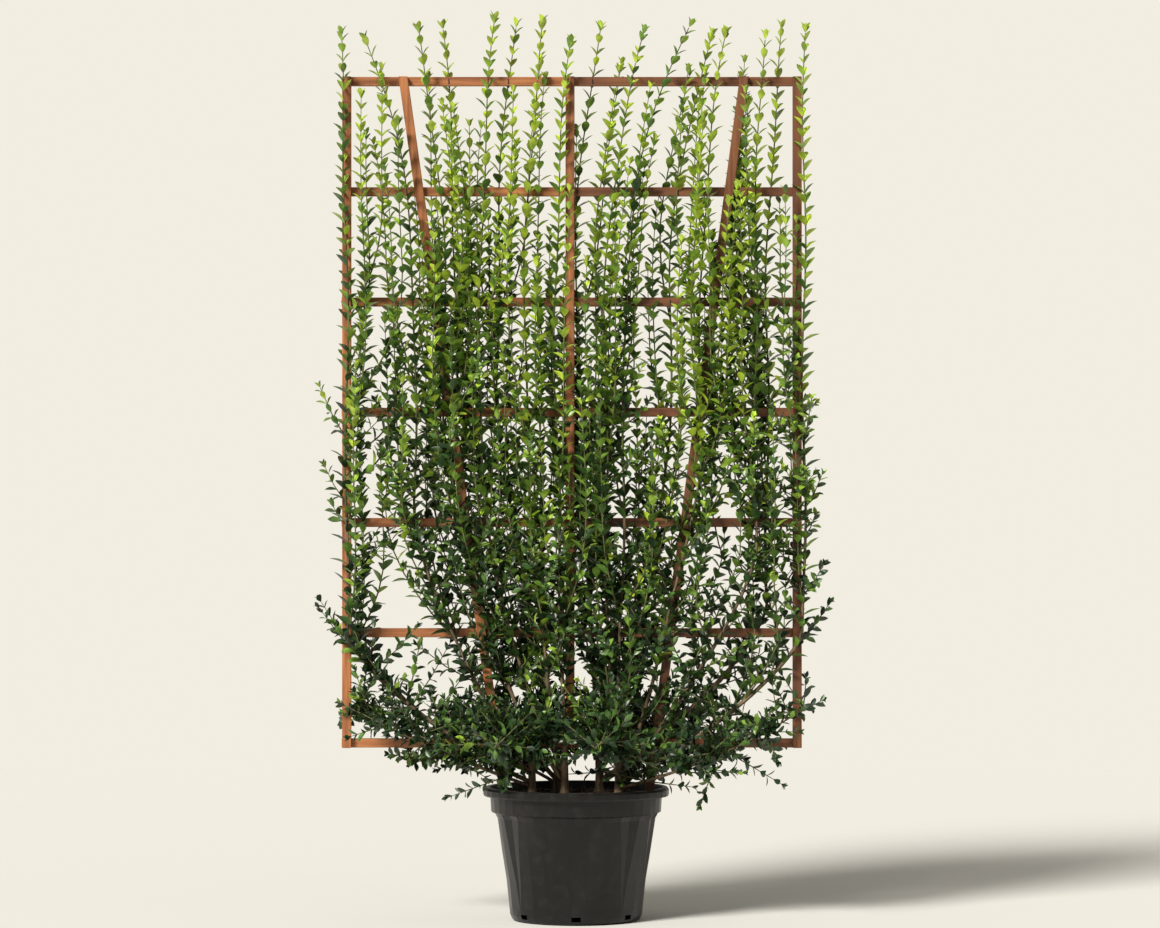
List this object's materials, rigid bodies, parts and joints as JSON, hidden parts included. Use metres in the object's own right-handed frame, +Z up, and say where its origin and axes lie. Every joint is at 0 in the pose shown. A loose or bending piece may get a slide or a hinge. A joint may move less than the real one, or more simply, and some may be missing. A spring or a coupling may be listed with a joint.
{
  "type": "potted espalier spindle shrub on a trellis",
  "caption": "Evergreen spindle trained as a flat fan of upright leafy canes on a batten trellis whose slanted legs stand in a ribbed black container",
  "frame": {"origin": "middle of the pot's flat underside", "axes": "+Z up, +X to the right along the trellis, the trellis's front faces -Y"},
  "size_m": [1.373, 0.4866, 2.371],
  "materials": {
    "pot": "black moulded plastic, satin, with dust and scuffs",
    "soil": "dark potting compost with bark chips",
    "trellis": "oiled orange-brown hardwood battens, sawn",
    "bark": "brown to grey-green bark, matt",
    "foliage": "glossy leaves, yellow-green at the tips and deep green low down"
  },
  "bodies": {
    "root": {"pot": "pot", "potting_soil": "soil", "rail_1": "trellis", "rail_2": "trellis", "rail_3": "trellis", "rail_4": "trellis", "rail_5": "trellis", "rail_6": "trellis", "rail_7": "trellis", "upright_left": "trellis", "upright_middle": "trellis", "upright_right": "trellis", "leg_left": "trellis", "leg_right": "trellis", "stem_front_left": "bark", "stem_front_middle": "bark", "stem_front_right": "bark", "stem_back_left": "bark", "stem_back_right": "bark", "bough_01": "bark", "bough_02": "bark", "bough_03": "bark", "bough_04": "bark", "bough_05": "bark", "bough_06": "bark", "bough_07": "bark", "bough_08": "bark", "bough_09": "bark", "bough_10": "bark", "bough_11": "bark", "bough_12": "bark", "bough_13": "bark", "bough_14": "bark", "bough_15": "bark", "bough_16": "bark", "leaves_01": "foliage", "leaves_02": "foliage", "leaves_03": "foliage", "leaves_04": "foliage", "leaves_05": "foliage", "leaves_06": "foliage", "leaves_07": "foliage", "leaves_08": "foliage", "leaves_09": "foliage", "leaves_10": "foliage", "leaves_11": "foliage", "leaves_12": "foliage", "leaves_13": "foliage", "leaves_14": "foliage", "leaves_15": "foliage", "leaves_16": "foliage", "low_far_left": "foliage", "low_left": "foliage", "low_front_left": "foliage", "low_front_right": "foliage", "low_far_right": "foliage", "low_right": "foliage", "low_back_left": "foliage", "low_back_right": "foliage"}
  },
  "joints": []
}
